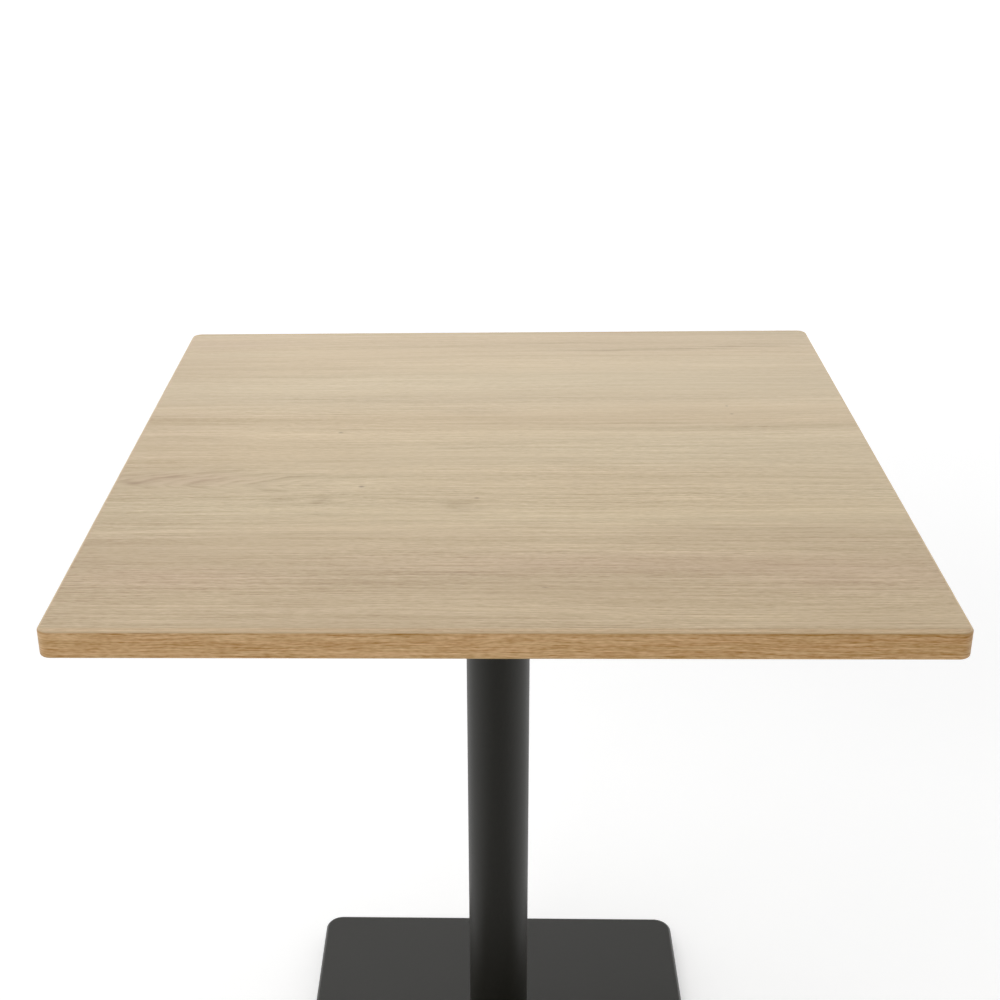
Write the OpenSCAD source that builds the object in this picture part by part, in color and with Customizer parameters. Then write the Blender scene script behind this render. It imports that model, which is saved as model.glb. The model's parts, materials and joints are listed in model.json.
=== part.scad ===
// Square bistro table: laminated top on a round pedestal column with a flat ballasted base.
// Millimetres, +Z up. The origin is on the floor, under the middle of the column.

/* [Table] */
// Height from the floor to the table's top surface
table_h = 750; // [700:5:780]

/* [Top] */
// Side of the square top, over the edge band
top_w = 700; // [600:10:800]
// Thickness of the top's core board
core_t = 21; // [18:0.5:28]
// Radius of the top's corners, seen from above
top_corner_r = 10; // [6:1:30]
// Thickness of each laminate sheet
laminate_t = 0.7; // [0.6:0.1:1.2]
// Thickness of the edge band
band_t = 2; // [2:0.5:3]
// Radius milled on the band's upper and lower outer edges
band_arris_r = 1.5; // [0.5:0.25:1.5]

/* [Column] */
// Outside diameter of the column tube
column_d = 63.5; // [60:0.5:76]
// Wall thickness of the column tube
column_wall = 2; // [1.5:0.5:3]
// Depth that each centring spigot reaches into the tube
spigot_len = 14; // [10:1:30]

/* [Spider] */
// Distance from the column's axis to the centre of each arm's round tip
arm_reach = 175; // [150:5:220]
// Width of each arm
arm_w = 34; // [30:1:40]
// Thickness of the arm's flat web, against the top
arm_web_t = 5; // [4:0.5:8]
// Diameter of the hub over the tube's end
hub_d = 86; // [80:1:100]
// Height of the hub
hub_h = 24; // [22:1:30]

/* [Base] */
// Side of the square base cover
base_w = 430; // [400:5:500]
// Radius of the base cover's corners, seen from above
base_corner_r = 20; // [15:1:40]
// Radius pressed along the cover's upper edge
cover_edge_r = 4; // [3:0.5:6]
// Sheet thickness of the base cover
cover_t = 1.5; // [1:0.25:2]
// Thickness of the cast ballast plate
ballast_t = 12; // [12:1:16]

/* [Feet] */
// Distance from each foot's middle in to the base cover's two nearest sides
foot_inset = 40; // [30:1:60]
// Diameter of the foot's pad
pad_d = 30; // [25:1:40]
// Height of the foot's pad
pad_h = 4.4; // [4:0.1:6]
// Height of the stud's hexagon, between pad and ballast
stud_hex_h = 2.5; // [2:0.1:4]

/* [Hidden] */
$fn = 96;

// Colours
oak_face = [0.79, 0.70, 0.56];
oak_edge = [0.70, 0.56, 0.38];
chipboard = [0.66, 0.54, 0.38];
backing_grey = [0.86, 0.85, 0.82];
powder_black = [0.13, 0.13, 0.12];
casting_black = [0.10, 0.10, 0.10];
zinc = [0.75, 0.76, 0.78];
nylon_black = [0.06, 0.06, 0.06];
rubber_black = [0.04, 0.04, 0.04];

// Clearances
eps = 0.01;         // overlap that keeps a cut clean
slip = 0.1;         // on the radius, for parts that slide together
thread_slip = 0.05; // on the radius, between a screw's crests and its hole
face_gap = 0.05;    // between the faces of a foot's turning parts

// Fasteners: M12 tie rod, M8 feet, 5 mm wood screws
rod_d = 12;
rod_pitch = 1.75;
rod_root_r = 4.95;
rod_thread_len = 40;
rod_end_gap = 0.6;      // from the rod's end to the face that it stops short of
nut_af = 19;
nut_h = 10;
washer_d = 24;
washer_t = 2.5;
spring_washer_d = 20.5;
spring_washer_t = 2.5;
spring_washer_split = 1.5;
bolt_seat_d = 34;       // counterbore that takes the nut and its socket
bolt_seat_h = 17;
stud_d = 8;
stud_af = 13;
stud_spigot_h = 2.8;    // the stud's plain end, held in the pad
screw_d = 5;
screw_root_r = 1.6;
screw_len = 20;
screw_tip_len = 4;
screw_thread_pitch = 2;
screw_head_d = 9.5;
screw_head_h = 3.2;
screw_spacing = 30;      // between an arm's two screws
recess_w = 1.2;          // the screw head's cross recess
recess_l = 5;
recess_depth = 1.8;
arm_hole_d = 5.5;
arm_rib_t = 6;
arm_rib_stop = 48;       // from the arm's tip centre back to where its rib runs out
edge_cut = 2;            // chamfer round the hub's lower edge
lead_in = 1;             // chamfer on the ends of the centring spigots

// Heights
top_t = core_t + 2 * laminate_t;
top_under = table_h - top_t;
core_low = top_under + laminate_t;
core_high = core_low + core_t;
column_high = top_under - hub_h;
ballast_low = pad_h + face_gap + stud_hex_h + face_gap;
ballast_high = ballast_low + ballast_t;
cover_high = ballast_high + cover_t;
cover_low = ballast_low - 1;
gasket_t = 1.5;
column_low = cover_high + gasket_t;
boss_high = column_low + spigot_len + 6;
upper_seat = top_under - bolt_seat_h;
lower_seat = ballast_low + bolt_seat_h;

// Radii and places
tube_in_r = column_d / 2 - column_wall;
spigot_r = tube_in_r - slip;
rod_hole_r = rod_d / 2 + 0.5;
arms = [45, 135, 225, 315];
screw_radii = [arm_reach - screw_spacing, arm_reach];
foot_pos = base_w / 2 - foot_inset;
front_left = [-foot_pos, -foot_pos];
front_right = [foot_pos, -foot_pos];
back_left = [-foot_pos, foot_pos];
back_right = [foot_pos, foot_pos];

// Square of side w with round corners of radius r, centred
module rounded_square(w, r) {
    square([w, w - 2 * r], center = true);
    square([w - 2 * r, w], center = true);
    for (x = [-1, 1], y = [-1, 1])
        translate([x * (w / 2 - r), y * (w / 2 - r)]) circle(r);
}

// Runs a profile round a square of side w whose corners have radius r.
// The profile's x = 0 lies on the square's outline, and its negative x inside.
module frame_sweep(w, r) {
    side = w - 2 * r;
    for (turn = [0:3]) rotate(turn * 90) {
        translate([w / 2, side / 2, 0]) rotate([90, 0, 0]) linear_extrude(side) children();
        translate([w / 2 - r, w / 2 - r, 0]) rotate_extrude(angle = 90) translate([r, 0]) children();
    }
}

// Solid of revolution whose outline zigzags like a screw thread, from z = 0 to length
module thread(crest_r, root_r, pitch, length) {
    turns = floor(length / pitch);
    step = length / turns;
    rotate_extrude() polygon(concat(
        [[0, 0], [root_r, 0]],
        [for (i = [0:turns - 1], half = [1, 2]) [half == 1 ? crest_r : root_r, (i + half / 2) * step]],
        [[0, length]]
    ));
}

// Hexagon nut with chamfered corners, standing on z = 0
module hex_nut(af, hole_r, h) {
    corner_r = af / sqrt(3);
    chamfer = corner_r - af / 2;
    difference() {
        intersection() {
            cylinder(r = corner_r, h = h, $fn = 6);
            rotate_extrude() polygon([
                [0, 0], [af / 2, 0], [corner_r, chamfer / 2],
                [corner_r, h - chamfer / 2], [af / 2, h], [0, h]
            ]);
        }
        translate([0, 0, -1]) cylinder(r = hole_r, h = h + 2);
    }
}

// Flat ring standing on z = 0
module ring(outer_r, inner_r, h) {
    difference() {
        cylinder(r = outer_r, h = h);
        translate([0, 0, -1]) cylinder(r = inner_r, h = h + 2);
    }
}

// Puts its children at each place where a screw goes through the spider
module at_screws() {
    for (a = arms, s = screw_radii) rotate(a) translate([s, 0, 0]) children();
}

// Puts its children at each of the four feet
module at_feet() {
    for (p = [front_left, front_right, back_left, back_right]) translate(p) children();
}

module face_laminate() {
    color(oak_face) translate([0, 0, core_high])
        linear_extrude(laminate_t) rounded_square(top_w - 2 * band_t, top_corner_r - band_t);
}

module top_core() {
    color(chipboard) difference() {
        translate([0, 0, core_low]) linear_extrude(core_t)
            rounded_square(top_w - 2 * band_t, top_corner_r - band_t);
        at_screws() translate([0, 0, core_low - 1])
            cylinder(r = screw_d / 2 + thread_slip, h = top_under - arm_web_t + screw_len + 0.5 - core_low + 1);
    }
}

module backing_laminate() {
    color(backing_grey) difference() {
        translate([0, 0, top_under]) linear_extrude(laminate_t)
            rounded_square(top_w - 2 * band_t, top_corner_r - band_t);
        at_screws() translate([0, 0, top_under - 1])
            cylinder(r = screw_d / 2 + thread_slip, h = laminate_t + 2);
    }
}

// Upright strip with its two outer edges rounded
module band_profile() {
    r = band_arris_r;
    translate([-band_t, 0]) square([band_t - r, top_t]);
    translate([-band_t, r]) square([band_t, top_t - 2 * r]);
    intersection() {
        for (y = [r, top_t - r]) translate([-r, y]) circle(r);
        translate([-band_t, 0]) square([band_t, top_t]);
    }
}

module edge_band() {
    color(oak_edge) translate([0, 0, top_under]) frame_sweep(top_w, top_corner_r) band_profile();
}

// One arm of the spider along +X: a flat web with a round tip, and a rib under it that tapers away
module spider_arm() {
    rib_low = -hub_h + edge_cut + 1;
    rib_end = arm_reach - arm_rib_stop;
    translate([0, 0, -arm_web_t]) linear_extrude(arm_web_t) {
        translate([0, -arm_w / 2]) square([arm_reach, arm_w]);
        translate([arm_reach, 0]) circle(arm_w / 2);
    }
    translate([0, arm_rib_t / 2, 0]) rotate([90, 0, 0]) linear_extrude(arm_rib_t)
        polygon([[0, -eps], [0, rib_low], [hub_d / 2, rib_low], [rib_end, -arm_web_t], [rib_end, -eps]]);
}

// Hub of the spider, and under it the spigot that fits inside the tube
module spider_hub() {
    spigot_low = -hub_h - spigot_len;
    rotate_extrude() polygon([
        [0, 0], [hub_d / 2, 0], [hub_d / 2, -hub_h + edge_cut], [hub_d / 2 - edge_cut, -hub_h],
        [spigot_r, -hub_h], [spigot_r, spigot_low + lead_in], [spigot_r - lead_in, spigot_low], [0, spigot_low]
    ]);
}

module mounting_spider() {
    color(casting_black) translate([0, 0, top_under]) difference() {
        union() {
            spider_hub();
            for (a = arms) rotate(a) spider_arm();
        }
        translate([0, 0, -bolt_seat_h]) cylinder(r = bolt_seat_d / 2, h = bolt_seat_h + 1);
        translate([0, 0, -hub_h - spigot_len - 1]) cylinder(r = rod_hole_r, h = hub_h + spigot_len);
        at_screws() translate([0, 0, -arm_web_t - 1]) cylinder(r = arm_hole_d / 2, h = arm_web_t + 2);
    }
}

// Pan-head wood screw; z = 0 is the underside of the head, and the shank points up
module wood_screw() {
    shank = arm_web_t + 1;
    dome_r = screw_head_h + 1;
    difference() {
        rotate_extrude() polygon(concat(
            [[0, 0], [screw_head_d / 2, 0]],
            [for (a = [0:15:90]) [
                screw_head_d / 2 - 1.8 * (1 - cos(a)),
                -screw_head_h * sin(a)
            ]],
            [[0, -screw_head_h]]
        ));
        for (a = [0, 90]) rotate(a)
            translate([-recess_l / 2, -recess_w / 2, -screw_head_h - 1])
                cube([recess_l, recess_w, recess_depth + 1]);
    }
    translate([0, 0, -eps]) cylinder(d = screw_d - 0.4, h = shank + eps);
    translate([0, 0, shank]) thread(screw_d / 2, screw_root_r, screw_thread_pitch, screw_len - screw_tip_len - shank);
    translate([0, 0, screw_len - screw_tip_len]) cylinder(r1 = screw_root_r, r2 = 0.3, h = screw_tip_len);
}

module spider_screws() {
    color(zinc) translate([0, 0, top_under - arm_web_t]) at_screws() wood_screw();
}

module column_tube() {
    color(powder_black) translate([0, 0, column_low])
        ring(column_d / 2, tube_in_r, column_high - column_low);
}

module column_gasket() {
    color(rubber_black) translate([0, 0, cover_high]) ring(column_d / 2 + 1.5, spigot_r + slip, gasket_t);
}

module tie_rod() {
    low = ballast_low + rod_end_gap;
    high = top_under - rod_end_gap;
    color(zinc) translate([0, 0, low]) {
        thread(rod_d / 2, rod_root_r, rod_pitch, rod_thread_len);
        translate([0, 0, rod_thread_len]) cylinder(r = rod_root_r + 0.5, h = high - low - 2 * rod_thread_len);
        translate([0, 0, high - low - rod_thread_len]) thread(rod_d / 2, rod_root_r, rod_pitch, rod_thread_len);
    }
}

module tie_nut() {
    hex_nut(nut_af, rod_d / 2 + thread_slip, nut_h);
}

module tie_washer() {
    ring(washer_d / 2, rod_hole_r, washer_t);
}

// Ring with a narrow gap cut aslant through one side
module spring_washer() {
    difference() {
        ring(spring_washer_d / 2, rod_d / 2 + 0.2, spring_washer_t);
        translate([spring_washer_d / 2, 0, spring_washer_t / 2]) rotate([25, 0, 0])
            cube([spring_washer_d, spring_washer_split, 4 * spring_washer_t], center = true);
    }
}

module upper_washer() {
    color(zinc) translate([0, 0, upper_seat]) tie_washer();
}

module upper_spring_washer() {
    color(zinc) translate([0, 0, upper_seat + washer_t]) spring_washer();
}

module upper_nut() {
    color(zinc) translate([0, 0, upper_seat + washer_t + spring_washer_t]) tie_nut();
}

module lower_washer() {
    color(zinc) translate([0, 0, lower_seat - washer_t]) tie_washer();
}

module lower_spring_washer() {
    color(zinc) translate([0, 0, lower_seat - washer_t - spring_washer_t]) spring_washer();
}

module lower_nut() {
    color(zinc) translate([0, 0, lower_seat - washer_t - spring_washer_t - nut_h]) tie_nut();
}

// Section through the pressed cover's rim: the wall, and the round bend into the flat sheet
module cover_profile() {
    r = cover_edge_r;
    bend = cover_high - r;
    translate([-cover_t, cover_low]) square([cover_t, bend - cover_low]);
    translate([-base_corner_r, cover_high - cover_t]) square([base_corner_r - r, cover_t]);
    translate([-r, bend]) intersection() {
        difference() {
            circle(r);
            circle(r - cover_t);
        }
        square(r + 1);
    }
}

module base_cover() {
    flat_w = base_w - 2 * base_corner_r;
    color(powder_black) difference() {
        union() {
            frame_sweep(base_w, base_corner_r) cover_profile();
            translate([-flat_w / 2, -flat_w / 2, cover_high - cover_t]) cube([flat_w, flat_w, cover_t]);
        }
        translate([0, 0, ballast_high - 1]) cylinder(r = spigot_r + slip, h = cover_t + 2);
    }
}

module base_ballast() {
    gap = 1;
    edge_step = cover_edge_r - cover_t;
    w = base_w - 2 * cover_t - 2 * gap;
    r = base_corner_r - cover_t - gap;
    color(casting_black) difference() {
        union() {
            translate([0, 0, ballast_low]) linear_extrude(ballast_t - edge_step) rounded_square(w, r);
            translate([0, 0, ballast_low]) linear_extrude(ballast_t)
                rounded_square(w - 2 * edge_step, r - edge_step);
            rotate_extrude() polygon([
                [0, ballast_low], [spigot_r, ballast_low], [spigot_r, boss_high - lead_in],
                [spigot_r - lead_in, boss_high], [0, boss_high]
            ]);
        }
        translate([0, 0, ballast_low - 1]) cylinder(r = bolt_seat_d / 2, h = bolt_seat_h + 1);
        translate([0, 0, lower_seat - 1]) cylinder(r = rod_hole_r, h = boss_high - lower_seat + 2);
        at_feet() translate([0, 0, ballast_low - 1]) cylinder(r = stud_d / 2 + thread_slip, h = ballast_t + 2);
    }
}

// Nylon pad of a foot: a disc with bevelled edges and a socket for the stud's plain end
module foot_pad() {
    bevel = 1;
    shoulder_r = stud_af / 2 + 3;
    color(nylon_black) difference() {
        rotate_extrude() polygon([
            [0, 0], [pad_d / 2 - bevel, 0], [pad_d / 2, bevel], [pad_d / 2, pad_h - 2 * bevel],
            [shoulder_r, pad_h], [0, pad_h]
        ]);
        translate([0, 0, pad_h - stud_spigot_h - face_gap])
            cylinder(r = stud_d / 2 + thread_slip, h = stud_spigot_h + 1);
    }
}

// Threaded stud of a foot: plain end in the pad, hexagon, and shank in the ballast
module foot_stud() {
    hex_low = pad_h + face_gap;
    shank_low = hex_low + stud_hex_h;
    color(zinc) {
        translate([0, 0, hex_low - stud_spigot_h]) cylinder(r = stud_d / 2, h = stud_spigot_h);
        translate([0, 0, hex_low]) cylinder(r = stud_af / sqrt(3), h = stud_hex_h, $fn = 6);
        translate([0, 0, shank_low]) cylinder(r = stud_d / 2, h = ballast_t - 0.5);
    }
}

face_laminate();
top_core();
backing_laminate();
edge_band();
mounting_spider();
spider_screws();
column_tube();
column_gasket();
tie_rod();
upper_nut();
upper_spring_washer();
upper_washer();
lower_nut();
lower_spring_washer();
lower_washer();
base_cover();
base_ballast();
translate(front_left) foot_pad();  // foot_pad_front_left
translate(front_right) foot_pad();  // foot_pad_front_right
translate(back_left) foot_pad();  // foot_pad_back_left
translate(back_right) foot_pad();  // foot_pad_back_right
translate(front_left) foot_stud();  // foot_stud_front_left
translate(front_right) foot_stud();  // foot_stud_front_right
translate(back_left) foot_stud();  // foot_stud_back_left
translate(back_right) foot_stud();  // foot_stud_back_right
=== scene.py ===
"""Bistro table: materials, close detail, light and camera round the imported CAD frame. Metres, +Z up."""
import json
import math

import bmesh
import bpy
from mathutils import Matrix, Vector


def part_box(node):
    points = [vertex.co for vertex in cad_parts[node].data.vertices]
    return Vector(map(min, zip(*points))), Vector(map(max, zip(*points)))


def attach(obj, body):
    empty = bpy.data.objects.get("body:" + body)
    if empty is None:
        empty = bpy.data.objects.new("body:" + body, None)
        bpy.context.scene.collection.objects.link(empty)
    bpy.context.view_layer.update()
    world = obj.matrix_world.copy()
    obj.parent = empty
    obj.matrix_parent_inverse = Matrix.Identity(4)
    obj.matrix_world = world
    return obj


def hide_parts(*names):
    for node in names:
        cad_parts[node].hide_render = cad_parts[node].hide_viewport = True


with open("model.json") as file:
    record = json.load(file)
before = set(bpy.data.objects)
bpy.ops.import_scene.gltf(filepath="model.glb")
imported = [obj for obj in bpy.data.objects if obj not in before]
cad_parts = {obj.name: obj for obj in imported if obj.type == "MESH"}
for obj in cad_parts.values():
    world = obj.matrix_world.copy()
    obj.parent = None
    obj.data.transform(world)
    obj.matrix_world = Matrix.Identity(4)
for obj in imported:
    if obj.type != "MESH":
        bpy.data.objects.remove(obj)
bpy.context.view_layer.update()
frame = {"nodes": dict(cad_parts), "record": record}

MM = 0.001
FOOT_CORNERS = ("front_left", "front_right", "back_left", "back_right")

# Sizes that the nodes' boxes don't give, as in the CAD model
TOP_CORNER_R = 10 * MM
BAND_ARRIS_R = 1.5 * MM
TUBE_WALL = 2 * MM
GASKET_INNER_R = 29.75 * MM
COVER_CORNER_R = 20 * MM
COVER_EDGE_R = 4 * MM
COVER_SHEET = 1.5 * MM
COVER_HOLE_R = 29.75 * MM
STUD_R = 4 * MM
STUD_ROOT_R = 3.4 * MM
STUD_PITCH = 1.25 * MM
STUD_PLAIN_END = 2.8 * MM
STUD_HEX_H = 2.5 * MM
STUD_HEX_AF = 13 * MM
ROD_R = 6 * MM
ROD_ROOT_R = 4.95 * MM
ROD_PITCH = 1.75 * MM
ROD_THREAD = 40 * MM

# Close detail: the chamfer on the sheets' edges, the rounding of the castings' edges, the angle over which an
# edge stays sharp, the distance under which two points are one, and how far a piece's solids overlap
HAIRLINE = 0.12 * MM
CASTING_EASE = 0.6 * MM
SHARP_DEGREES = 32
SAME_POINT = 0.001 * MM
EMBED = 0.2 * MM

# The foot pad: the radius of its top, and the dimple and the raised rings in its sole
PAD_TOP_R = 9.5 * MM
SOLE_DIMPLE_R = 4 * MM
SOLE_GROOVE = 0.4 * MM
SOLE_RINGS = (5 * MM, 8 * MM, 11 * MM)
SOLE_RING_W = 1.6 * MM
SOLE_RING_SLOPE = 0.3 * MM
SOLE_RING_GAP = 0.8 * MM

# The stage: the floor's radius, and the brightness of the studio's wall low down behind the table
FLOOR_R = 14.0
SWEEP_LIGHT = 2.2

# The camera, and the way it looks: turned about Z, down from level, and tilted about its own line of sight
CAMERA_PLACE = (-0.0042, -1.3670, 1.3255)
CAMERA_TURN, CAMERA_DOWN, CAMERA_TILT = (math.radians(angle) for angle in (2.555, 24.616, 1.197))
CAMERA_SENSOR_MM = 36.0
CAMERA_LENS_MM = 56.42
CAMERA_SHIFT = 0.07


# ---------------------------------------------------------------- node trees


class Graph:
    """The node tree of a new material or world, with a short call for each kind of node that it uses."""

    def __init__(self, name, world=None):
        self.owner = world or bpy.data.materials.new(name)
        self.owner.use_nodes = True
        self.tree = self.owner.node_tree
        self.shader = self.tree.nodes["Background" if world else "Principled BSDF"]
        self.place = self.node("ShaderNodeTexCoord").outputs["Generated" if world else "Object"]

    def node(self, kind, **settings):
        """A new node with the given settings."""
        made = self.tree.nodes.new(kind)
        for name, value in settings.items():
            setattr(made, name, value)
        return made

    def put(self, socket, value):
        """Links a socket, or sets a plain value."""
        if isinstance(value, bpy.types.NodeSocket):
            self.tree.links.new(value, socket)
        elif value is not None:
            socket.default_value = value

    def math(self, operation, first, second=None, third=None):
        """The result of a Math node."""
        made = self.node("ShaderNodeMath", operation=operation)
        for socket, value in zip(made.inputs, (first, second, third)):
            self.put(socket, value)
        return made.outputs[0]

    def total(self, values):
        """The sum of several values."""
        result = values[0]
        for value in values[1:]:
            result = self.math("ADD", result, value)
        return result

    def vector_math(self, operation, first, second=None):
        """The result of a Vector Math node: a number for a length, and otherwise a vector."""
        made = self.node("ShaderNodeVectorMath", operation=operation)
        self.put(made.inputs[0], first)
        self.put(made.inputs[1], second)
        return made.outputs["Value" if operation == "LENGTH" else "Vector"]

    def axes(self, vector):
        """The X, Y and Z of a vector."""
        made = self.node("ShaderNodeSeparateXYZ")
        self.put(made.inputs[0], vector)
        return made.outputs

    def join(self, x, y, z=0.0):
        """The vector with the given X, Y and Z."""
        made = self.node("ShaderNodeCombineXYZ")
        for socket, value in zip(made.inputs, (x, y, z)):
            self.put(socket, value)
        return made.outputs[0]

    def stretch(self, vector, scale, offset=(0, 0, 0)):
        """A vector scaled, and then moved by the offset."""
        made = self.node("ShaderNodeMapping")
        self.put(made.inputs["Vector"], vector)
        self.put(made.inputs["Location"], offset)
        self.put(made.inputs["Scale"], scale)
        return made.outputs[0]

    def noise(self, vector, scale, detail=2.0, roughness=0.5):
        """Smooth noise, mostly between 0.3 and 0.7."""
        made = self.node("ShaderNodeTexNoise")
        settings = {"Vector": vector, "Scale": scale, "Detail": detail, "Roughness": roughness}
        for name, value in settings.items():
            self.put(made.inputs[name], value)
        return made.outputs["Fac"]

    def cells(self, vector, scale):
        """The outputs of a pattern of cells."""
        made = self.node("ShaderNodeTexVoronoi")
        self.put(made.inputs["Vector"], vector)
        self.put(made.inputs["Scale"], scale)
        return made.outputs

    def span(self, value, low, high, to_low=0.0, to_high=1.0, smooth=False):
        """Maps low..high to to_low..to_high, clamped."""
        made = self.node("ShaderNodeMapRange", clamp=True)
        made.interpolation_type = "SMOOTHSTEP" if smooth else "LINEAR"
        for socket, number in zip(made.inputs, (value, low, high, to_low, to_high)):
            self.put(socket, number)
        return made.outputs[0]

    def mix(self, factor, first, second):
        """The first colour where the factor is 0, and the second where it is 1."""
        made = self.node("ShaderNodeMix", data_type="RGBA")
        self.put(made.inputs["Factor"], factor)
        self.put(made.inputs[6], colour(first))
        self.put(made.inputs[7], colour(second))
        return made.outputs[2]

    def brighten(self, base, gain):
        """A colour times a value."""
        return self.vector_math("MULTIPLY", base, self.join(gain, gain, gain))

    def bump(self, height, distance, strength):
        """The normal of a surface with the given relief, whose height of 1 is the distance in metres."""
        made = self.node("ShaderNodeBump")
        self.put(made.inputs["Strength"], strength)
        self.put(made.inputs["Distance"], distance)
        self.put(made.inputs["Height"], height)
        return made.outputs[0]

    def finish(self, **sockets):
        """Sets or links the shader's own sockets, and returns the material or the world."""
        for name, value in sockets.items():
            self.put(self.shader.inputs[name.replace("_", " ")], colour(value))
        return self.owner


def colour(value):
    """Three numbers as the four that a colour socket takes; anything else unchanged."""
    return (*value, 1.0) if isinstance(value, tuple) and len(value) == 3 else value


# ---------------------------------------------------------------- oak

# Places on the top, seen from above: middle x, middle y, half length, half width, strength. They are where
# the pattern of this top has its main figures, except for the painted shade over the top's left side in
# BROAD_BANDS_AND_SHADE; the fine grain between them is generated. A strength under 0 in BROAD_BANDS_AND_SHADE
# or BAND_MARKS_AND_SHADE is darker, and one over 0 is paler.
DARK_LINES = [
    (0.15, 0.286, 0.19, 0.006, 0.22),
    (0.28, 0.294, 0.09, 0.006, 0.20),
    (0.08, 0.309, 0.10, 0.004, 0.15),
    (0.30, 0.302, 0.07, 0.004, 0.16),
    (0.09, 0.068, 0.20, 0.005, 0.13),
    (0.17, 0.061, 0.09, 0.0025, 0.12),
    (-0.30, 0.036, 0.07, 0.004, 0.15),
    (-0.30, 0.028, 0.06, 0.002, 0.12),
    (-0.03, 0.006, 0.10, 0.003, 0.15),
    (0.24, 0.000, 0.09, 0.003, 0.08),
    (-0.13, -0.037, 0.05, 0.002, 0.09),
    (-0.06, -0.117, 0.06, 0.003, 0.16),
    (0.045, -0.150, 0.035, 0.003, 0.14),
    (-0.02, -0.169, 0.14, 0.0022, 0.11),
    (-0.26, -0.170, 0.10, 0.0022, 0.12),
    (0.22, -0.171, 0.16, 0.004, 0.17),
    (0.215, -0.236, 0.05, 0.004, 0.10),
    (0.26, -0.265, 0.05, 0.010, 0.08),
    (0.036, -0.276, 0.02, 0.003, 0.12),
    (-0.28, -0.282, 0.08, 0.003, 0.10),
]
LIGHT_LINES = [
    (0.14, -0.162, 0.21, 0.0045, 0.09),
    (-0.22, -0.158, 0.12, 0.003, 0.07),
    (0.02, -0.205, 0.10, 0.004, 0.06),
    (-0.10, 0.022, 0.12, 0.004, 0.05),
    (0.10, 0.262, 0.22, 0.005, 0.06),
    (-0.22, 0.300, 0.10, 0.004, 0.06),
]
SMUDGES = [
    (-0.335, -0.073, 0.015, 0.007, 0.20),
    (-0.157, -0.112, 0.016, 0.016, 0.20),
    (-0.190, -0.111, 0.026, 0.008, 0.15),
    (-0.200, -0.093, 0.028, 0.006, 0.16),
    (-0.255, -0.107, 0.026, 0.006, 0.13),
    (-0.035, -0.120, 0.026, 0.014, 0.22),
    (-0.028, -0.134, 0.040, 0.006, 0.14),
    (-0.150, -0.142, 0.026, 0.009, 0.11),
    (-0.245, -0.045, 0.030, 0.010, 0.15),
    (-0.02, 0.10, 0.08, 0.022, 0.06),
    (0.20, 0.10, 0.10, 0.012, 0.06),
    (0.24, -0.188, 0.24, 0.022, 0.07),
    (0.10, -0.075, 0.22, 0.010, 0.05),
]
PIN_KNOTS = [
    (-0.123, -0.083, 0.0040, 0.0028, 0.50),
    (-0.153, 0.046, 0.0036, 0.0024, 0.42),
    (-0.019, -0.108, 0.0034, 0.0026, 0.38),
    (0.232, 0.091, 0.0030, 0.0024, 0.34),
    (0.230, 0.113, 0.0024, 0.0030, 0.30),
    (0.036, -0.277, 0.0044, 0.0018, 0.26),
]
RED_BANDS = [
    (-0.28, -0.066, 0.10, 0.024, 0.60),
    (0.08, -0.235, 0.30, 0.030, 0.75),
    (-0.26, -0.262, 0.14, 0.030, 0.80),
    (0.28, -0.255, 0.16, 0.045, 0.75),
    (-0.30, 0.31, 0.12, 0.030, 0.45),
]
YELLOW_BANDS = [
    (0.05, 0.20, 0.40, 0.026, 0.60),
    (0.10, -0.150, 0.35, 0.018, 0.50),
    (-0.28, 0.275, 0.12, 0.018, 0.55),
]
BROAD_BANDS_AND_SHADE = [
    # Painted shade: darkens the whole left side of the top, where the light falls off.
    (-0.36, 0.06, 0.17, 0.600, -0.11),
    (0.00, -0.252, 0.60, 0.030, -0.10),
    (0.08, -0.203, 0.50, 0.016, 0.09),
    (0.12, -0.138, 0.40, 0.034, 0.08),
    (0.06, 0.030, 0.36, 0.050, 0.05),
    (-0.05, 0.130, 0.60, 0.032, -0.10),
    (0.10, 0.235, 0.40, 0.036, 0.06),
    (0.00, 0.310, 0.60, 0.040, -0.07),
]
# Grain layers: cycles per metre along and across the grain, and weight
BROAD_GRAIN = [(0.7, 12, 0.18), (1.0, 38, 0.25), (1.8, 90, 0.17), (9.0, 70, 0.05)]
FINE_GRAIN = [(2.6, 190, 0.12), (3.5, 420, 0.24), (12.0, 260, 0.08), (9.0, 760, 0.34), (110.0, 900, 0.24),
              (14.0, 1500, 0.46), (90.0, 1500, 0.46), (200.0, 1700, 0.34)]
BAND_GRAIN = [(2.0, 90, 0.10), (5.0, 380, 0.20), (8.0, 800, 0.50), (60.0, 800, 0.50), (170.0, 850, 0.78),
              (30.0, 1600, 1.00)]
# Places on the band: middle along it and up it, half length, half width, strength
BAND_MARKS_AND_SHADE = [
    (0.87, 0.0186, 0.20, 0.0024, 0.22),
    (0.80, 0.0124, 0.15, 0.0030, -0.05),
    (0.91, 0.0035, 0.12, 0.0020, 0.06),
    (1.22, 0.0208, 0.18, 0.0014, -0.09),
    (1.30, 0.0165, 0.06, 0.0016, 0.06),
    # Painted shade: darkens the band from the middle of its front round its right corner, where less light
    # reaches.
    (1.45, 0.0110, 0.40, 0.2000, -0.13),
]
# What a grain level of 1 adds to the colour: paler where it is over 0, browner under it
TOP_GRAIN_TINT = (0.462, 0.425, 0.300)
BAND_GRAIN_TINT = (0.428, 0.371, 0.277)
# Colours of the top: two that it wanders between, then painted shade for its front, its bands, its front rim
# and its pores
TOP_WARM = (0.548, 0.403, 0.217)
TOP_COOL = (0.530, 0.405, 0.226)
TOP_FRONT_SHADE = (0.490, 0.354, 0.191)
TOP_RED = (0.520, 0.362, 0.208)
TOP_YELLOW = (0.550, 0.424, 0.238)
TOP_RIM = (0.535, 0.366, 0.186)
PORE_BROWN = (0.120, 0.056, 0.018)
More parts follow.
